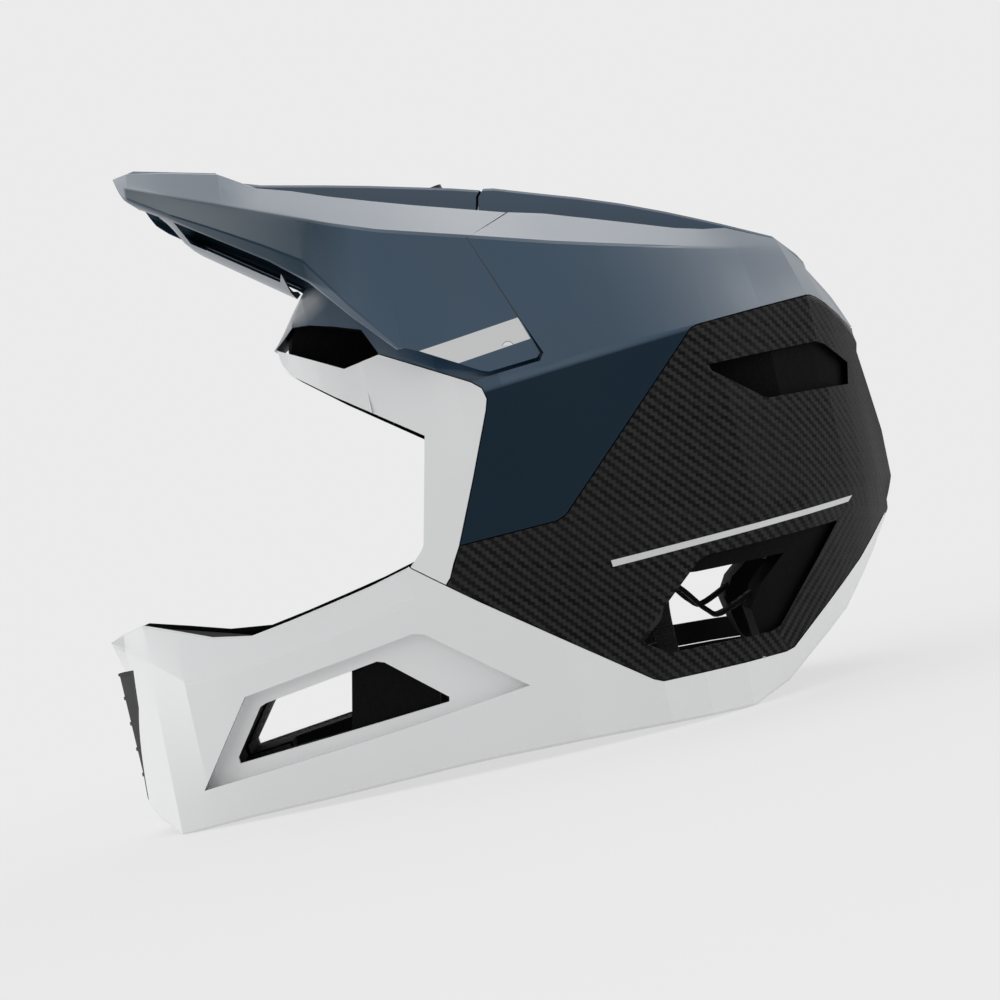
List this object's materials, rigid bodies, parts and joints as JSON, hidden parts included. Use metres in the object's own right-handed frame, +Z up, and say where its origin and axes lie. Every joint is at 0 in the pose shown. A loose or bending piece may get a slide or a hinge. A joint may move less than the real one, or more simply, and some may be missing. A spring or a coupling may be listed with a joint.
{
  "type": "bicycle helmet",
  "caption": "Full face downhill bicycle helmet with a tilting visor, vented chin bar, foam liner, cheek pads and a chin strap with a ratchet buckle.",
  "frame": {"origin": "middle of the bounding box in plan, on the table that the helmet rests on", "axes": "the helmet faces -Y, +X is the wearer's left and +Z is up"},
  "size_m": [0.2254, 0.3738, 0.3028],
  "materials": {
    "blue_paint": "satin paint on a moulded shell",
    "white_paint": "satin paint on a moulded shell",
    "carbon": "satin clear coat over twill weave",
    "black_plastic": "matt moulded plastic",
    "foam": "moulded bead foam",
    "pad_cloth": "knitted cloth over foam",
    "webbing": "woven webbing",
    "steel": "turned steel",
    "alloy": "black anodised aluminium"
  },
  "bodies": {
    "helmet": {"crown_shell": "blue_paint", "face_frame": "white_paint", "lower_shell": "white_paint", "rear_panel": "carbon", "pivot_stud_left": "steel", "pivot_stud_right": "steel", "visor_nut": "alloy", "crown_liner_left": "foam", "crown_liner_right": "foam", "chin_liner": "foam", "mouth_vent_frame_left": "white_paint", "mouth_vent_frame_right": "white_paint", "front_grille": "black_plastic", "comfort_liner": "pad_cloth", "head_band": "pad_cloth", "neck_roll": "pad_cloth", "cheek_pad_left": "pad_cloth", "cheek_pad_right": "pad_cloth", "strap_anchor_left": "steel", "strap_anchor_right": "steel"},
    "visor": {"visor": "blue_paint", "visor_underplate": "black_plastic"},
    "screw": {"visor_screw": "alloy"},
    "strap": {"strap_left": "webbing", "strap_right": "webbing", "strap_ladder": "black_plastic", "strap_keeper": "black_plastic", "strap_pad": "pad_cloth", "buckle_case": "black_plastic", "buckle_pin": "steel"},
    "lever": {"buckle_lever": "black_plastic"}
  },
  "joints": [
    {"name": "visor_tilt", "type": "hinge", "parent": "helmet", "child": "visor", "pos_m": [0, 0.02533, 0.17702], "axis": [1, 0, 0], "range_deg": [0, 6]},
    {"name": "screw_turn", "type": "hinge", "parent": "helmet", "child": "screw", "pos_m": [0, 0.00655, 0.26397], "axis": [0, -0.2112, 0.9775], "continuous": true},
    {"name": "strap_swing", "type": "hinge", "parent": "helmet", "child": "strap", "pos_m": [0, 0.05384, 0.05347], "axis": [1, 0, 0], "range_deg": [-12, 0]},
    {"name": "buckle_open", "type": "hinge", "parent": "strap", "child": "lever", "pos_m": [0.05149, 0.01827, 0.02568], "axis": [0, -0.6157, 0.788], "range_deg": [0, 50], "stiffness_Nm_per_rad": 0.01, "springref_deg": -28.65}
  ]
}
